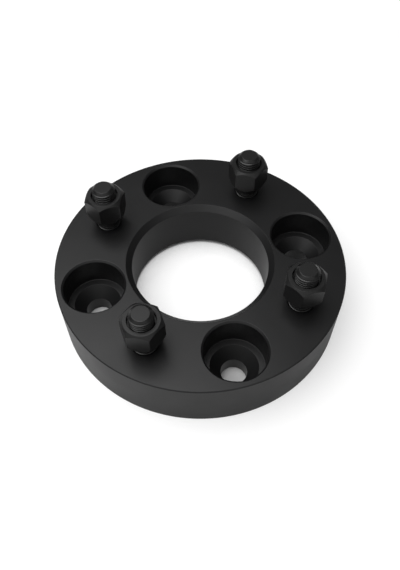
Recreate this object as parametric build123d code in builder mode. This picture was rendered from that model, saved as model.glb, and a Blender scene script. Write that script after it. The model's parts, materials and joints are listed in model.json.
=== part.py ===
from build123d import *
import os
from itertools import cycle
from math import cos, radians, tan

# Bolt-on wheel spacer, in millimetres.
# A thick turned ring bolts to the hub through four stepped recesses, and carries the
# wheel on four pressed-in studs with tapered lug nuts.
# The origin is the centre of the hub-side face, and +Z points to the wheel.

# Ring: the rim wall is what is left outside a recess
thickness = 30.5
rim_wall = 3.55
edge_break = 0.5

# Centre bore
bore_dia = 72.6
bore_chamfer = 3.0

# Bolt circle, shared by the recesses and the studs, which alternate around it
pitch_circle_dia = 114.3
bolt_count = 4

# Recesses for the nuts that hold the spacer to the hub
recess_dia = 31.6
recess_depth = 16.2
recess_break = 0.9
recess_break_angle = 90.0
seat_mouth_dia = 24.8
seat_angle = 90.0
hub_hole_dia = 13.5

# Studs: the spline crests bite in a hole of their own size
thread_dia = 12.0
stud_stand = 26.6
stud_end_chamfer = 1.65
spline_rise = 0.45
spline_length = 10.0
spline_count = 15
spline_groove = 0.5
head_dia = 20.0
head_thickness = 3.5

# Pockets that sink the stud heads below the hub-side face
head_clearance = 0.5
head_sink = 0.8

# Lug nuts, with the turn of each one's corners from its outward direction
nut_across_flats = 19.0
nut_height = 18.0
nut_stand = 3.3
nut_seat_angle = 60.0
nut_seat_lip = 0.75
nut_top_dia = 17.6
nut_top_angle = 45.0
nut_mouth_gap = 0.95
nut_mouth_depth = 2.5
nut_turns = [45.0, 48.0, 49.0, 45.0]

# Worked out from the sizes above
bore_radius = bore_dia / 2
ring_radius = pitch_circle_dia / 2 + recess_dia / 2 + rim_wall
pitch_radius = pitch_circle_dia / 2
stud_angle = 180 / bolt_count
thread_radius = thread_dia / 2
spline_radius = thread_radius + spline_rise
head_seat = head_sink + head_thickness
spline_top = head_seat + spline_length
stud_top = thickness + stud_stand
nut_foot = thickness + nut_stand
nut_top = nut_foot + nut_height
corner_radius = nut_across_flats / 2 / cos(radians(30))
seat_end_radius = thread_radius + nut_seat_lip
top_radius = nut_top_dia / 2

# How far the cutter that turns a nut's ends reaches past the hexagon's corners
cutter_margin = 0.5
cutter_radius = corner_radius + cutter_margin
seat_rise = (cutter_radius - seat_end_radius) / tan(radians(nut_seat_angle / 2))
top_drop = (cutter_radius - top_radius) * tan(radians(nut_top_angle))

# One frame at the foot of each stud, on the hub-side face, with x outward
stud_ring = PolarLocations(pitch_radius, bolt_count, start_angle=stud_angle)
stud_sites = [Plane(place) for place in stud_ring]


def axial_plane(site):
    """The plane through a stud's axis, with x outward and y up."""
    return Plane(origin=site.origin, x_dir=site.x_dir, z_dir=-site.y_dir)


os.makedirs("parts", exist_ok=True)

# Spacer body: the ring's section, turned about the bore's axis
with BuildPart() as spacer_body:
    with BuildSketch(Plane.XZ):
        with Locations(((bore_radius + ring_radius) / 2, thickness / 2)):
            Rectangle(ring_radius - bore_radius, thickness)
        chamfer(vertices().group_by(Axis.X)[0], bore_chamfer)
        chamfer(vertices().group_by(Axis.X)[-1], edge_break)
    revolve(axis=Axis.Z)

    # Recesses: a counterbore with a broken edge, then a conical seat below its flat ledge
    with Locations(Plane.XY.offset(thickness)):
        with PolarLocations(pitch_radius, bolt_count):
            CounterSinkHole(
                radius=recess_dia / 2,
                counter_sink_radius=recess_dia / 2 + recess_break,
                counter_sink_angle=recess_break_angle,
                depth=recess_depth,
            )
    with Locations(Plane.XY.offset(thickness - recess_depth)):
        with PolarLocations(pitch_radius, bolt_count):
            CounterSinkHole(
                radius=hub_hole_dia / 2,
                counter_sink_radius=seat_mouth_dia / 2,
                counter_sink_angle=seat_angle,
            )

    # Stud holes, drilled through, with a head pocket on the hub side
    with Locations(-Plane.XY):
        with PolarLocations(pitch_radius, bolt_count, start_angle=stud_angle):
            CounterBoreHole(
                radius=spline_radius,
                counter_bore_radius=head_dia / 2 + head_clearance,
                counter_bore_depth=head_seat,
            )
spacer_body.part.label = "spacer_body"
export_step(spacer_body.part, "parts/spacer_body.step")

# Wheel studs: a turned head, shoulder and shank, then grooves that leave the splines
with BuildPart() as wheel_studs:
    for site in stud_sites:
        with BuildSketch(axial_plane(site)):
            with BuildLine():
                Polyline(
                    (0, head_sink),
                    (head_dia / 2, head_sink),
                    (head_dia / 2, head_seat),
                    (spline_radius, head_seat),
                    (spline_radius, spline_top),
                    (thread_radius, spline_top),
                    (thread_radius, stud_top - stud_end_chamfer),
                    (thread_radius - stud_end_chamfer, stud_top),
                    (0, stud_top),
                    close=True,
                )
            make_face()
        revolve(axis=Axis(site.origin, site.z_dir))
        with BuildSketch(site.offset(head_seat)):
            with PolarLocations(spline_radius, spline_count):
                Rectangle(spline_groove, spline_groove, rotation=45)
        extrude(amount=spline_length, mode=Mode.SUBTRACT)
wheel_studs.part.label = "wheel_studs"
export_step(wheel_studs.part, "parts/wheel_studs.step")

# Lug nuts: a hexagonal bar, turned away to a tapered seat below and a chamfer above
with BuildPart() as lug_nuts:
    for site, turn in zip(stud_sites, cycle(nut_turns)):
        with BuildSketch(site.offset(nut_foot)):
            RegularPolygon(nut_across_flats / 2, 6, major_radius=False, rotation=turn)
        extrude(amount=nut_height)
        with BuildSketch(axial_plane(site)):
            with BuildLine():
                Polyline(
                    (seat_end_radius, nut_foot),
                    (cutter_radius, nut_foot),
                    (cutter_radius, nut_foot + seat_rise),
                    close=True,
                )
            make_face()
            with BuildLine():
                Polyline(
                    (top_radius, nut_top),
                    (cutter_radius, nut_top),
                    (cutter_radius, nut_top - top_drop),
                    close=True,
                )
            make_face()
        revolve(axis=Axis(site.origin, site.z_dir), mode=Mode.SUBTRACT)
        with Locations(site.offset(nut_top)):
            CounterBoreHole(
                radius=thread_radius,
                counter_bore_radius=thread_radius + nut_mouth_gap,
                counter_bore_depth=nut_mouth_depth,
            )
lug_nuts.part.label = "lug_nuts"
export_step(lug_nuts.part, "parts/lug_nuts.step")
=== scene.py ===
import json
import math

import bmesh
import bpy
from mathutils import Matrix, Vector, geometry


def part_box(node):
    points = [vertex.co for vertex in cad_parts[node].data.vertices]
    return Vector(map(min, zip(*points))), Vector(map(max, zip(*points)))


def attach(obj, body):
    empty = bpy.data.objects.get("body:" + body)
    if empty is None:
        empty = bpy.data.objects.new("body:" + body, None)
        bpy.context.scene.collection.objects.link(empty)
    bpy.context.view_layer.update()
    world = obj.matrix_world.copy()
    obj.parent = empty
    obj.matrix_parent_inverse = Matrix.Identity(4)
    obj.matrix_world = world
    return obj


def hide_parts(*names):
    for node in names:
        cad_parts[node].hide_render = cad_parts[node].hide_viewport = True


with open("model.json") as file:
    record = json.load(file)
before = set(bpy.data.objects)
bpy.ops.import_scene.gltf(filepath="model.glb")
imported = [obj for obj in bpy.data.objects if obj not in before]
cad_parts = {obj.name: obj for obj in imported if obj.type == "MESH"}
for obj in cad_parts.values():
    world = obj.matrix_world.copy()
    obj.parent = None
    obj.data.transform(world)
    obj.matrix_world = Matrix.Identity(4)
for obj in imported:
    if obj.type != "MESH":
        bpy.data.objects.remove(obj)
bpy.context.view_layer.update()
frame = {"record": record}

# Sizes that the frame gives, in metres
MM = 0.001
mounts = {mount["name"]: mount["dims"] for mount in frame["record"]["mounts"]}
ring_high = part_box("spacer_body")[1]
ring_radius = ring_high.x
thickness = ring_high.z
bore_radius = mounts["centre_bore"]["r_mm"] * MM
pitch_radius = mounts["hub_bolt_holes"]["pcd_mm"] / 2 * MM
bolt_count = mounts["hub_bolt_holes"]["count"]
hub_hole_radius = mounts["hub_bolt_holes"]["hole_r_mm"] * MM
thread_radius = mounts["stud_circle"]["stud_r_mm"] * MM
head_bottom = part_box("wheel_studs")[0].z
stud_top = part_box("wheel_studs")[1].z
nut_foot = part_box("lug_nuts")[0].z
nut_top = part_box("lug_nuts")[1].z

# Ring, as in the solid, with the small breaks and roundings that its edges have
edge_break = 0.5 * MM
bore_chamfer = 3.0 * MM
recess_radius = 15.8 * MM
recess_depth = 16.2 * MM
recess_break = 0.9 * MM
seat_mouth_radius = 12.4 * MM
hub_hole_break = 0.3 * MM
stud_hole_break = 0.45 * MM
pocket_radius = 10.5 * MM
pocket_break = 0.3 * MM
edge_round = 0.12 * MM
corner_round = 0.3 * MM
flat_margin = 0.35 * MM  # the narrow ring of faces beside an edge that keeps a flat's shading even

# Studs, as in the solid, with a collar and an undercut at the ring's face and a cut thread. A crest
# ends, and the root starts, at a share of the pitch from the crest's middle.
spline_radius = 6.45 * MM
spline_length = 10.0 * MM
spline_groove_depth = 0.35 * MM
spline_count = 15
head_radius = 10.0 * MM
head_seat = 4.3 * MM
head_bevel = 0.5 * MM
spline_top = head_seat + spline_length
thread_pitch = 1.5 * MM
thread_depth = 0.66 * MM
thread_crest = 0.14
thread_root = 0.42
thread_run_out = 0.3 * MM
collar_radius = 6.4 * MM
collar_sink = 1.5 * MM
collar_rise = 0.35 * MM
collar_bottom = thickness - collar_sink
collar_top = thickness + collar_rise
collar_bevel = 0.45 * MM
collar_bevel_drop = 0.22 * MM
undercut_height = 0.5 * MM
undercut_fillet = 0.1 * MM
thread_start = collar_top + undercut_height
stud_end_chamfer = 1.65 * MM
crest_height = 23.6 * MM  # of one crest over the face, on the +X side of each stud

# Nuts, as in the solid, with rounded corners and a cut thread. The seat widens by its slope as it
# rises, the top's chamfer drops by its own as it widens, and a turn is that of a corner from the
# outward direction, in degrees.
nut_across_flats = 19.0 * MM
nut_corner_round = 0.35 * MM
nut_seat_radius = 6.75 * MM
nut_foot_land = 0.2 * MM
nut_seat_slope = math.tan(math.radians(30))
nut_top_radius = 8.8 * MM
nut_top_slope = math.tan(math.radians(45))
nut_mouth_radius = 6.95 * MM
nut_mouth_depth = 2.5 * MM
nut_turns = [45.0, 48.0, 49.0, 45.0]
nut_thread_depth = 0.6 * MM
thread_clearance = 0.03 * MM

# Coatings: flats are the faces cut square to the axis, and clouds are soft patches of another gloss
# and a darker colour, between two levels of their noise
ring_colour = (0.0045, 0.0045, 0.0047)
ring_roughness = 0.40
ring_specular = 0.31
ring_grain = 0.12 * MM
lathe_mark = 0.35 * MM
fastener_colour = (0.006, 0.006, 0.006)
stud_roughness = 0.26
nut_roughness = 0.33
fastener_flat_roughness = 0.44
fastener_specular = 0.29
fastener_grain = 0.2 * MM
grain_height = 0.002 * MM
grain_detail = 2.0
lathe_detail = 3.0
cloud_scale = 45.0
cloud_detail = 4.0
cloud_gloss = 0.03
cloud_darkening = 0.85
cloud_low = 0.3
cloud_high = 0.7
flat_start = 0.9  # how level a face is where it begins to count as a flat, 1 being level
flat_end = 0.98

# Floor: how much lighter it is to the eye, near the object, and in reflections than for the light
# it bounces, the distances between which it goes to full white, the shares of open sky over a spot
# between which it goes from shadow to white, and how far off something can cover that sky
floor_colour = 0.5
floor_roughness = 0.9
floor_to_eye = 0.5
floor_in_reflections = 0.1
floor_near = 0.3
floor_far = 1.0
floor_reach = 20.0
floor_drop = 0.02 * MM
shadow_sky = 0.25
open_sky = 0.4
sky_reach = 2 * thickness
sky_samples = 16

# Light: a dim dome, lighter round dome_front and white to the eye, and one round soft box overhead
dome_back_level = 0.15
dome_front_level = 0.8
dome_in_reflections = 0.05
dome_front = (-0.4, -0.9, 0.3)
dome_fade_start = 0.1
dome_fade_end = 0.8
soft_box_place = (-0.3, 0.1, 0.7)
soft_box_radius = 0.45
soft_box_level = 3.9

# The camera that took the photograph, as worked out from its perspective, with its tilt and turn in
# degrees, its lens and sensor in millimetres and the rest in metres
camera_place = (-0.05752, -0.18478, 0.28197)
camera_tilt = 35.147
camera_turn = -17.25
camera_lens = 37.89
sensor_width = 36.0
nearest_seen = 0.01
farthest_seen = 50.0

# How finely round forms are divided, how near two points are when they are one, how near a point is
# to a line when it is on it, the shares of the pitch at which a thread has a row of points, and how
# much more a large face counts than a small one in the shading
outer_steps = 256
recess_steps = 112
stud_steps = 90
corner_steps = 5
flat_steps = 8
weld_distance = 0.001 * MM
fill_tolerance = 1e-9
thread_rows = [0, *(0.08 + 0.04 * k for k in range(22))]
large_face_weight = 100

first_stud_angle = math.pi / bolt_count
stud_angles = [first_stud_angle + 2 * math.pi * k / bolt_count for k in range(bolt_count)]
recess_angles = [2 * math.pi * k / bolt_count for k in range(bolt_count)]


def on_circle(angle, radius, centre=(0.0, 0.0)):
    return centre[0] + radius * math.cos(angle), centre[1] + radius * math.sin(angle)


def even_angles(steps):
    return [2 * math.pi * k / steps for k in range(steps)]


def rounded(corners, steps=3):
    """A path of (radius, height) points from corners given as (radius, height, rounding)."""
    path = []
    for k, (radius, height, rounding) in enumerate(corners):
        here = Vector((radius, height))
        if rounding == 0:
            path.append(here)
            continue
        back = (Vector(corners[k - 1][:2]) - here).normalized()
        ahead = (Vector(corners[k + 1][:2]) - here).normalized()
        half = back.angle(ahead) / 2
        centre = here + (back + ahead).normalized() * rounding / math.sin(half)
        start = here + back * rounding / math.tan(half) - centre
        end = here + ahead * rounding / math.tan(half) - centre
        sweep = math.pi - 2 * half
        for step in range(steps + 1):
            share = step / steps
            blend = start * math.sin((1 - share) * sweep) + end * math.sin(share * sweep)
            path.append(centre + blend / math.sin(sweep))
    return path


class Skin:
    """The points and faces of one closed surface."""

    def __init__(self):
        self.points = []
        self.faces = []

    def add_columns(self, angles, paths, centre=(0.0, 0.0), wrap=0):
        """Joins one path of (radius, height) points at each angle to the next, right round.

        wrap is how many rows the surface climbs in one turn. Gives the index of each point.
        """
        index = []
        for angle, path in zip(angles, paths):
            column = []
            for radius, height in path:
                column.append(len(self.points))
                self.points.append((*on_circle(angle, radius, centre), height))
            index.append(column)
        for k, column in enumerate(index):
            last = k == len(index) - 1
            neighbour = index[0][wrap:] if last else index[k + 1]
            for row in range(min(len(column), len(neighbour)) - 1):
                self.faces.append(
                    (column[row], neighbour[row], neighbour[row + 1], column[row + 1])
                )
        return index

    def add_turned(self, path, steps, centre=(0.0, 0.0)):
        """Turns a path about an upright axis and gives the indices of its first and last rings."""
        angles = even_angles(steps)
        index = self.add_columns(angles, [path] * steps, centre)
        return [column[0] for column in index], [column[-1] for column in index]

    def add_flat(self, loops, keep):
        """Fills the plane between loops of points, where keep says that a place is solid."""
        flat = [index for loop in loops for index in loop]
        places = [Vector(self.points[index][:2]) for index in flat]
        edges = []
        start = 0
        for loop in loops:
            edges += [(start + k, start + (k + 1) % len(loop)) for k in range(len(loop))]
            start += len(loop)
        filled = geometry.delaunay_2d_cdt(places, edges, [], 0, fill_tolerance)
        points, _, faces, origin, _, _ = filled
        for face in faces:
            middle = sum((points[k] for k in face), Vector((0.0, 0.0))) / len(face)
            if keep(middle):
                self.faces.append([flat[origin[k][0]] for k in face])

    def add_fan(self, ring, height, centre=(0.0, 0.0)):
        """Closes a ring with triangles that meet at its centre."""
        middle = len(self.points)
        self.points.append((*centre, height))
        self.faces += [(ring[k], ring[(k + 1) % len(ring)], middle) for k in range(len(ring))]


def make_piece(name, skin, material, node):
    """Makes the closed mesh of a skin, smoothly shaded, in place of a node."""
    mesh = bpy.data.meshes.new(name)
    mesh.from_pydata(skin.points, [], skin.faces)
    work = bmesh.new()
    work.from_mesh(mesh)
    bmesh.ops.remove_doubles(work, verts=work.verts, dist=weld_distance)
    bmesh.ops.recalc_face_normals(work, faces=work.faces)
    for face in work.faces:
        face.smooth = True
    work.to_mesh(mesh)
    work.free()
    mesh.materials.append(material)
    piece = bpy.data.objects.new(name, mesh)
    bpy.context.scene.collection.objects.link(piece)
    piece.modifiers.new("even_shading", "WEIGHTED_NORMAL").weight = large_face_weight
    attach(piece, "root")
    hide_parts(node)
    return piece


def thread_share(turn):
    """How deep the thread's groove is at this share of a turn from a crest, from 0 to 1."""
    from_crest = abs(turn - round(turn))
    share = min(max((from_crest - thread_crest) / (thread_root - thread_crest), 0.0), 1.0)
    return share * share * (3 - 2 * share)


def thread_paths(angles, low, high, crest_at, radius_at):
    """One path for each angle along a right-hand thread whose crest passes crest_at at angle 0.

    radius_at gives the radius from the height and the share of the groove's depth.
    """
    below = math.floor((low - crest_at) / thread_pitch) - 2
    above = math.ceil((high - crest_at) / thread_pitch) + 2
    paths = []
    for angle in angles:
        path = []
        for turn in range(below, above):
            for row in thread_rows:
                height = crest_at + thread_pitch * (turn + row + angle / (2 * math.pi))
                height = min(max(height, low), high)
                path.append((radius_at(height, thread_share(row)), height))
        paths.append(path)
    return paths


def ring_skin():
    """The turned ring with its bore, its recesses and its stud holes."""
    skin = Skin()
    ledge = thickness - recess_depth
    outer_flat = ring_radius - edge_break
    outer = skin.add_turned(
        rounded([
            (outer_flat - flat_margin, thickness, 0),
            (outer_flat, thickness, edge_round),
            (ring_radius, thickness - edge_break, edge_round),
            (ring_radius, edge_break, edge_round),
            (outer_flat, 0, edge_round),
            (outer_flat - flat_margin, 0, 0),
        ]),
        outer_steps,
    )
    bore_mouth = bore_radius + bore_chamfer
    bore = skin.add_turned(
        rounded([
            (bore_mouth + flat_margin, thickness, 0),
            (bore_mouth, thickness, edge_round),
            (bore_radius, thickness - bore_chamfer, edge_round),
            (bore_radius, bore_chamfer, edge_round),
            (bore_mouth, 0, edge_round),
            (bore_mouth + flat_margin, 0, 0),
        ]),
        outer_steps,
    )
    tops, bottoms = [outer[0], bore[0]], [outer[1], bore[1]]
    top_holes, bottom_holes = [], []

    recess_mouth = recess_radius + recess_break
    hub_hole_mouth = hub_hole_radius + hub_hole_break
    recess_path = rounded([
        (recess_mouth + flat_margin, thickness, 0),
        (recess_mouth, thickness, edge_round),
        (recess_radius, thickness - recess_break, edge_round),
        (recess_radius, ledge, corner_round),
        (seat_mouth_radius, ledge, edge_round),
        (hub_hole_radius, ledge - seat_mouth_radius + hub_hole_radius, edge_round),
        (hub_hole_radius, hub_hole_break, edge_round),
        (hub_hole_mouth, 0, edge_round),
        (hub_hole_mouth + flat_margin, 0, 0),
    ])
    for angle in recess_angles:
        centre = on_circle(angle, pitch_radius)
        top, bottom = skin.add_turned(recess_path, recess_steps, centre)
        tops.append(top)
        bottoms.append(bottom)
        top_holes.append((Vector(centre), recess_mouth + flat_margin))
        bottom_holes.append((Vector(centre), hub_hole_mouth + flat_margin))

    stud_hole_mouth = spline_radius + stud_hole_break
    pocket_mouth = pocket_radius + pocket_break
    stud_hole_path = rounded([
        (stud_hole_mouth + flat_margin, thickness, 0),
        (stud_hole_mouth, thickness, edge_round / 2),
        (spline_radius, thickness - stud_hole_break, edge_round / 2),
        (spline_radius, head_seat, 0),
        (pocket_radius, head_seat, corner_round),
        (pocket_radius, pocket_break, edge_round),
        (pocket_mouth, 0, edge_round),
        (pocket_mouth + flat_margin, 0, 0),
    ])
    for angle in stud_angles:
        centre = on_circle(angle, pitch_radius)
        top, bottom = skin.add_turned(stud_hole_path, recess_steps, centre)
        tops.append(top)
        bottoms.append(bottom)
        top_holes.append((Vector(centre), stud_hole_mouth + flat_margin))
        bottom_holes.append((Vector(centre), pocket_mouth + flat_margin))

    for loops, holes in ((tops, top_holes), (bottoms, bottom_holes)):
        holes.append((Vector((0.0, 0.0)), bore_mouth + flat_margin))
        skin.add_flat(loops, lambda place: all((place - c).length > r for c, r in holes))
    return skin


def stud_skin(angle):
    """A press-in stud: head, splines, shank, collar and a rolled thread with a chamfered end."""
    skin = Skin()
    centre = on_circle(angle, pitch_radius)
    angles = even_angles(stud_steps)
    columns_per_spline = stud_steps // spline_count

    root_radius = thread_radius - thread_depth
    lead = spline_radius - thread_radius
    paths = []
    for k in range(stud_steps):
        groove = spline_groove_depth if k % columns_per_spline == 0 else 0.0
        crest = spline_radius - groove
        paths.append(rounded([
            (head_radius - head_bevel - flat_margin, head_bottom, 0),
            (head_radius - head_bevel, head_bottom, edge_round),
            (head_radius, head_bottom + head_bevel, edge_round),
            (head_radius, head_seat, edge_round),
            (spline_radius + flat_margin, head_seat, 0),
            (crest, head_seat, 0),
            (crest, spline_top - lead, 0),
            (thread_radius, spline_top, 0),
            (thread_radius, collar_bottom, 0),
            (collar_radius, collar_bottom + collar_bevel, 0),
            (collar_radius, collar_top - collar_bevel_drop, edge_round / 2),
            (collar_radius - collar_bevel, collar_top, edge_round / 2),
            (root_radius, collar_top, undercut_fillet),
            (root_radius, thread_start, 0),
        ]))
    index = skin.add_columns(angles, paths, centre)
    skin.add_fan([column[0] for column in index], head_bottom, centre)

    def radius_at(height, share):
        run_in = max(1.0 - (height - thread_start) / thread_run_out, 0.0)
        chamfer = thread_radius - stud_end_chamfer + stud_top - height
        return min(thread_radius - thread_depth * max(share, run_in), chamfer)

    crest_at = thickness + crest_height
    paths = thread_paths(angles, thread_start, stud_top, crest_at, radius_at)
    skin.add_columns(angles, paths, centre, wrap=len(thread_rows))
    end_radius = thread_radius - stud_end_chamfer
    _, rim = skin.add_turned(
        [(end_radius, stud_top), (end_radius - flat_margin, stud_top)], stud_steps, centre
    )
    skin.add_fan(rim, stud_top, centre)
    return skin


def hexagon_columns(turn):
    """Angle and radius of each column of points round a hexagon with rounded corners."""
    across = nut_across_flats / 2
    corner = across / math.cos(math.pi / 6)
    centre_radius = corner - nut_corner_round / math.cos(math.pi / 6)
    columns = []
    for side in range(6):
        middle = turn + side * math.pi / 3
        centre = on_circle(middle, centre_radius)
        for step in range(corner_steps):
            swing = (step / (corner_steps - 1) - 0.5) * math.pi / 3
            columns.append(Vector(on_circle(middle + swing, nut_corner_round, centre)))
        ahead = middle + math.pi / 3
        arc_end = columns[-1]
        next_start = Vector(
            on_circle(ahead - math.pi / 6, nut_corner_round, on_circle(ahead, centre_radius))
        )
        for step in range(1, flat_steps):
            columns.append(arc_end.lerp(next_start, step / flat_steps))
    columns = [(math.atan2(place.y, place.x) % (2 * math.pi), place.length) for place in columns]
    return sorted(columns)


def nut_skin(angle, turn):
    """An open lug nut: a hexagon with a tapered seat, a chamfered top and a threaded bore."""
    skin = Skin()
    centre = on_circle(angle, pitch_radius)
    columns = hexagon_columns(angle + math.radians(turn))
    angles = [column[0] for column in columns]
    mouth_floor = nut_top - nut_mouth_depth
    major = thread_radius + thread_clearance
    sink = nut_seat_radius - nut_foot_land

    paths = []
    for _, reach in columns:
        paths.append(rounded([
            (sink, nut_foot, 0),
            (nut_seat_radius, nut_foot, edge_round / 2),
            (reach, nut_foot + (reach - nut_seat_radius) / nut_seat_slope, edge_round),
            (reach, nut_top - (reach - nut_top_radius) * nut_top_slope, edge_round),
            (nut_top_radius, nut_top, edge_round),
            (nut_mouth_radius + edge_round, nut_top, edge_round / 2),
            (nut_mouth_radius, nut_top - edge_round, edge_round / 2),
            (nut_mouth_radius, mouth_floor, edge_round),
            (major, mouth_floor, 0),
        ]))
    skin.add_columns(angles, paths, centre)

    def radius_at(height, share):
        groove = major - nut_thread_depth * share
        lead_in = max(sink - (height - nut_foot), major - (mouth_floor - height))
        return max(groove, lead_in)

    crest_at = thickness + crest_height
    paths = thread_paths(angles, nut_foot, mouth_floor, crest_at, radius_at)
    skin.add_columns(angles, paths, centre, wrap=len(thread_rows))
    return skin


def add_node(tree, kind, settings=None, **values):
    """A shader node with its settings and unlinked inputs; a value may be another node's output."""
    node = tree.nodes.new(kind)
    for name, value in (settings or {}).items():
        setattr(node, name, value)
    for name, value in values.items():
        key = int(name[1:]) if name[0] == "_" else name.replace("_", " ")
        socket = node.inputs[key]
        if isinstance(value, bpy.types.NodeSocket):
            tree.links.new(value, socket)
        else:
            socket.default_value = value
    return node


def new_material(name):
    material = bpy.data.materials.new(name)
    material.use_nodes = True
    tree = material.node_tree
    return material, tree, tree.nodes["Principled BSDF"]


def coated_black(name, colour, roughness, flat_roughness, specular, grain_size, turned):
    """A black coating over machined metal: fine grain, cloudy gloss and, where turned, lathe marks.

    flat_roughness is that of the faces cut square to the axis, which face up or down.
    """
    material, tree, shader = new_material(name)
    coordinates = add_node(tree, "ShaderNodeTexCoord").outputs
    place = coordinates["Object"]
    clouds = add_node(
        tree, "ShaderNodeTexNoise", Vector=place, Scale=cloud_scale, Detail=cloud_detail
    )
    cloudy = add_node(
        tree, "ShaderNodeMapRange", _0=clouds.outputs[0], _1=cloud_low, _2=cloud_high,
        _3=-cloud_gloss, _4=cloud_gloss,
    )
    facing = add_node(tree, "ShaderNodeSeparateXYZ", Vector=coordinates["Normal"])
    level = add_node(tree, "ShaderNodeMath", {"operation": "ABSOLUTE"}, _0=facing.outputs[2])
    plain = add_node(
        tree, "ShaderNodeMapRange", _0=level.outputs[0], _1=flat_start, _2=flat_end,
        _3=roughness, _4=flat_roughness,
    )
    gloss = add_node(
        tree, "ShaderNodeMath", {"operation": "ADD"}, _0=plain.outputs[0], _1=cloudy.outputs[0]
    )
    tree.links.new(gloss.outputs[0], shader.inputs["Roughness"])
    shader.inputs["Specular IOR Level"].default_value = specular
    dark = [share * cloud_darkening for share in colour]
    tint = add_node(
        tree, "ShaderNodeMix", {"data_type": "RGBA"}, _0=clouds.outputs[0],
        _6=(*dark, 1.0), _7=(*colour, 1.0),
    )
    tree.links.new(tint.outputs[2], shader.inputs["Base Color"])
    grain = add_node(
        tree, "ShaderNodeTexNoise", Vector=place, Scale=1 / grain_size, Detail=grain_detail
    )
    height = grain.outputs[0]
    if turned:
        axes = add_node(tree, "ShaderNodeSeparateXYZ", Vector=place)
        across = add_node(tree, "ShaderNodeCombineXYZ", X=axes.outputs[0], Y=axes.outputs[1])
        radius = add_node(
            tree, "ShaderNodeVectorMath", {"operation": "LENGTH"}, _0=across.outputs[0]
        )
        marks = add_node(
            tree, "ShaderNodeCombineXYZ", X=radius.outputs["Value"], Y=axes.outputs[2]
        )
        lines = add_node(
            tree, "ShaderNodeTexNoise", Vector=marks.outputs[0], Scale=1 / lathe_mark,
            Detail=lathe_detail,
        )
        height = add_node(
            tree, "ShaderNodeMath", {"operation": "ADD"}, _0=height, _1=lines.outputs[0]
        ).outputs[0]
    bump = add_node(tree, "ShaderNodeBump", Height=height, Strength=1.0, Distance=grain_height)
    tree.links.new(bump.outputs[0], shader.inputs["Normal"])
    return material


def in_reflections(tree, ray):
    """1 for a ray that comes by way of a reflection or through glass, and 0 for any other."""
    return add_node(tree, "ShaderNodeMath", {"operation": "MAXIMUM"},
                    _0=ray["Is Glossy Ray"], _1=ray["Is Transmission Ray"]).outputs[0]


def white_floor():
    """A plain floor that the eye and reflections see as whiter, and that keeps shadows.

    From below it is clear, so that the hub side can be seen through it.
    """
    material, tree, shader = new_material("floor_white")
    shader.inputs["Base Color"].default_value = (floor_colour, floor_colour, floor_colour, 1.0)
    shader.inputs["Roughness"].default_value = floor_roughness
    shader.inputs["Specular IOR Level"].default_value = 0.0
    ray = add_node(tree, "ShaderNodeLightPath").outputs
    place = add_node(tree, "ShaderNodeTexCoord").outputs["Object"]
    away = add_node(tree, "ShaderNodeVectorMath", {"operation": "LENGTH"}, _0=place)
    to_eye = add_node(tree, "ShaderNodeMapRange", _0=away.outputs["Value"],
                      _1=floor_near, _2=floor_far, _3=floor_to_eye, _4=1.0)
    sky = add_node(tree, "ShaderNodeAmbientOcclusion", {"samples": sky_samples},
                   Distance=sky_reach)
    whiter = add_node(tree, "ShaderNodeMapRange", _0=sky.outputs["AO"],
                      _1=shadow_sky, _2=open_sky, _3=0.0, _4=to_eye.outputs[0])
    reflected = add_node(tree, "ShaderNodeMath", {"operation": "MULTIPLY"},
                         _0=in_reflections(tree, ray), _1=floor_in_reflections)
    glow = add_node(tree, "ShaderNodeMath", {"operation": "MULTIPLY_ADD"},
                    _0=ray["Is Camera Ray"], _1=whiter.outputs[0], _2=reflected.outputs[0])
    shader.inputs["Emission Color"].default_value = (1.0, 1.0, 1.0, 1.0)
    tree.links.new(glow.outputs[0], shader.inputs["Emission Strength"])
    underside = add_node(tree, "ShaderNodeNewGeometry").outputs["Backfacing"]
    clear = add_node(tree, "ShaderNodeBsdfTransparent")
    both = add_node(tree, "ShaderNodeMixShader",
                    _0=underside, _1=shader.outputs[0], _2=clear.outputs[0])
    tree.links.new(both.outputs[0], tree.nodes["Material Output"].inputs["Surface"])
    return material


def add_floor():
    mesh = bpy.data.meshes.new("floor")
    signs = ((-1, -1), (1, -1), (1, 1), (-1, 1))
    corners = [(x * floor_reach, y * floor_reach, -floor_drop) for x, y in signs]
    mesh.from_pydata(corners, [], [(0, 1, 2, 3)])
    mesh.materials.append(white_floor())
    floor = bpy.data.objects.new("floor", mesh)
    bpy.context.scene.collection.objects.link(floor)


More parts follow.
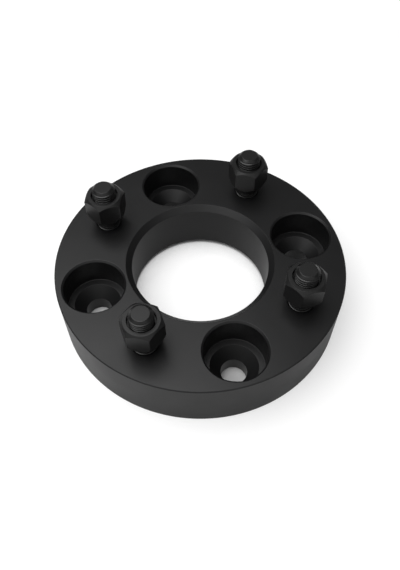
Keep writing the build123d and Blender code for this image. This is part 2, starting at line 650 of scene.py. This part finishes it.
def add_world():
    """A plain studio dome, dim behind the object and lighter in front of it.

    The eye sees it as a white backdrop, and reflections as a little lighter than it shines.
    """
    world = bpy.data.worlds.new("studio")
    bpy.context.scene.world = world
    world.use_nodes = True
    tree = world.node_tree
    direction = add_node(tree, "ShaderNodeTexCoord").outputs["Generated"]
    facing = add_node(tree, "ShaderNodeVectorMath", {"operation": "DOT_PRODUCT"},
                      _0=direction, _1=Vector(dome_front).normalized())
    level = add_node(tree, "ShaderNodeMapRange", {"interpolation_type": "SMOOTHSTEP"},
                     _0=facing.outputs["Value"], _1=dome_fade_start, _2=dome_fade_end,
                     _3=dome_back_level, _4=dome_front_level)
    ray = add_node(tree, "ShaderNodeLightPath").outputs
    level = add_node(tree, "ShaderNodeMath", {"operation": "MULTIPLY_ADD"},
                     _0=in_reflections(tree, ray), _1=dome_in_reflections, _2=level.outputs[0])
    level = add_node(tree, "ShaderNodeMath", {"operation": "MAXIMUM"},
                     _0=ray["Is Camera Ray"], _1=level.outputs[0])
    back = tree.nodes["Background"]
    back.inputs[0].default_value = (1.0, 1.0, 1.0, 1.0)
    tree.links.new(level.outputs[0], back.inputs[1])


def add_soft_box(name, place, radius, level):
    """A round lamp that faces straight down; level is how bright its face looks, 1 being white."""
    data = bpy.data.lights.new(name, "AREA")
    data.shape = "DISK"
    data.size = 2 * radius
    data.energy = level * math.pi * math.pi * radius ** 2
    lamp = bpy.data.objects.new(name, data)
    bpy.context.scene.collection.objects.link(lamp)
    lamp.location = place
    lamp.visible_camera = False


def add_camera():
    data = bpy.data.cameras.new("camera")
    data.lens = camera_lens
    data.sensor_width = sensor_width
    data.clip_start = nearest_seen
    data.clip_end = farthest_seen
    camera = bpy.data.objects.new("camera", data)
    bpy.context.scene.collection.objects.link(camera)
    camera.location = camera_place
    camera.rotation_euler = (math.radians(camera_tilt), 0.0, math.radians(camera_turn))
    bpy.context.scene.camera = camera


anodised = coated_black(
    "anodised_black", ring_colour, ring_roughness, ring_roughness, ring_specular, ring_grain, True
)
stud_black, nut_black = (
    coated_black(
        name, fastener_colour, roughness, fastener_flat_roughness, fastener_specular,
        fastener_grain, False,
    )
    for name, roughness in (("stud_black", stud_roughness), ("nut_black", nut_roughness))
)

make_piece("turned_ring", ring_skin(), anodised, "spacer_body")
for number, (angle, turn) in enumerate(zip(stud_angles, nut_turns), start=1):
    make_piece(f"threaded_stud_{number}", stud_skin(angle), stud_black, "wheel_studs")
    make_piece(f"tapered_nut_{number}", nut_skin(angle, turn), nut_black, "lug_nuts")

add_floor()
add_world()
add_soft_box("soft_box", soft_box_place, soft_box_radius, soft_box_level)
add_camera()

bpy.context.scene.view_settings.view_transform = "Standard"
